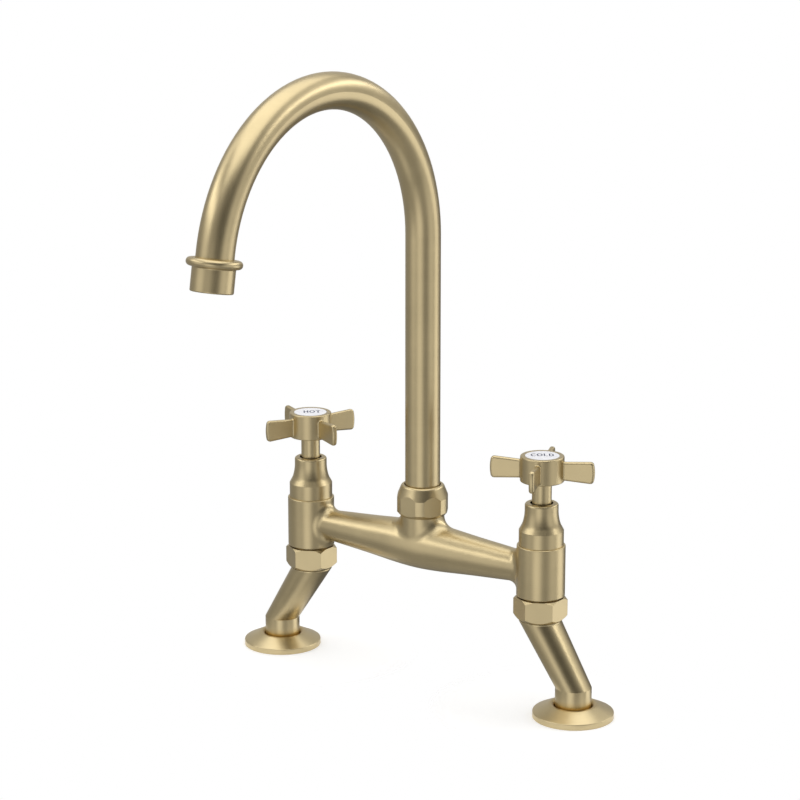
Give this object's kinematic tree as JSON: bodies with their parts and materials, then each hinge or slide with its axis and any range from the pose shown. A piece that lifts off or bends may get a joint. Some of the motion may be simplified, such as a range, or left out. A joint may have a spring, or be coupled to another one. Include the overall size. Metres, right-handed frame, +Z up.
{
  "type": "bridge kitchen faucet",
  "caption": "Deck-mounted bridge kitchen faucet with a swivelling swan-neck spout, crosshead handles on quarter-turn valves and cranked legs.",
  "frame": {"origin": "on the worktop's upper face, midway between the two feet, under the axis of the spout column", "axes": "+X towards the cold side, -Y the way the spout reaches at rest, +Z up"},
  "size_m": [0.2804, 0.2423, 0.4543],
  "materials": {
    "brushed_brass": "satin, fine brushed grain",
    "plain_brass": "plain turned brass",
    "stainless": "plain",
    "black_rubber": "matt",
    "nylon": "matt",
    "grey_plastic": "matt",
    "ceramic": "lapped",
    "white_enamel": "glossy",
    "red_fibre": "matt"
  },
  "bodies": {
    "root": {"bridge_body": "brushed_brass", "column_nut": "brushed_brass", "hot_bonnet": "brushed_brass", "hot_cartridge_body": "plain_brass", "hot_cartridge_o_ring": "black_rubber", "hot_seat_seal": "black_rubber", "hot_fixed_disc": "ceramic", "hot_union_nut": "brushed_brass", "hot_union_washer": "red_fibre", "cold_bonnet": "brushed_brass", "cold_cartridge_body": "plain_brass", "cold_cartridge_o_ring": "black_rubber", "cold_seat_seal": "black_rubber", "cold_fixed_disc": "ceramic", "cold_union_nut": "brushed_brass", "cold_union_washer": "red_fibre"},
    "spout": {"spout_ferrule": "plain_brass", "spout_o_rings": "black_rubber", "spout_slip_ring": "nylon", "spout_tube": "brushed_brass", "nozzle": "brushed_brass", "aerator_seal": "black_rubber", "aerator_cage": "plain_brass", "aerator_insert": "grey_plastic"},
    "hot_valve": {"hot_handle": "brushed_brass", "hot_index_disc": "white_enamel", "hot_handle_screw": "stainless", "hot_spindle": "plain_brass", "hot_spindle_o_ring": "black_rubber", "hot_spindle_clip": "stainless", "hot_moving_disc": "ceramic"},
    "hot_foot": {"hot_leg": "brushed_brass", "hot_snap_ring": "stainless", "hot_tail": "plain_brass", "hot_flange": "brushed_brass", "hot_flange_gasket": "black_rubber", "hot_tail_washer": "black_rubber", "hot_backnut": "plain_brass"},
    "cold_valve": {"cold_handle": "brushed_brass", "cold_index_disc": "white_enamel", "cold_handle_screw": "stainless", "cold_spindle": "plain_brass", "cold_spindle_o_ring": "black_rubber", "cold_spindle_clip": "stainless", "cold_moving_disc": "ceramic"},
    "cold_foot": {"cold_leg": "brushed_brass", "cold_snap_ring": "stainless", "cold_tail": "plain_brass", "cold_flange": "brushed_brass", "cold_flange_gasket": "black_rubber", "cold_tail_washer": "black_rubber", "cold_backnut": "plain_brass"}
  },
  "joints": [
    {"name": "spout_swivel", "type": "hinge", "parent": "root", "child": "spout", "pos_m": [0, 0, 0.118], "axis": [0, 0, 1], "continuous": true},
    {"name": "hot_handle_turn", "type": "hinge", "parent": "root", "child": "hot_valve", "pos_m": [-0.09, 0, 0.14605], "axis": [0, 0, 1], "range_deg": [0, 90]},
    {"name": "hot_leg_swivel", "type": "hinge", "parent": "root", "child": "hot_foot", "pos_m": [-0.09, 0, 0.058], "axis": [0, 0, 1], "range_deg": [-180, 180]},
    {"name": "cold_handle_turn", "type": "hinge", "parent": "root", "child": "cold_valve", "pos_m": [0.09, 0, 0.14605], "axis": [0, 0, 1], "range_deg": [-90, 0]},
    {"name": "cold_leg_swivel", "type": "hinge", "parent": "root", "child": "cold_foot", "pos_m": [0.09, 0, 0.058], "axis": [0, 0, 1], "range_deg": [-180, 180]}
  ]
}
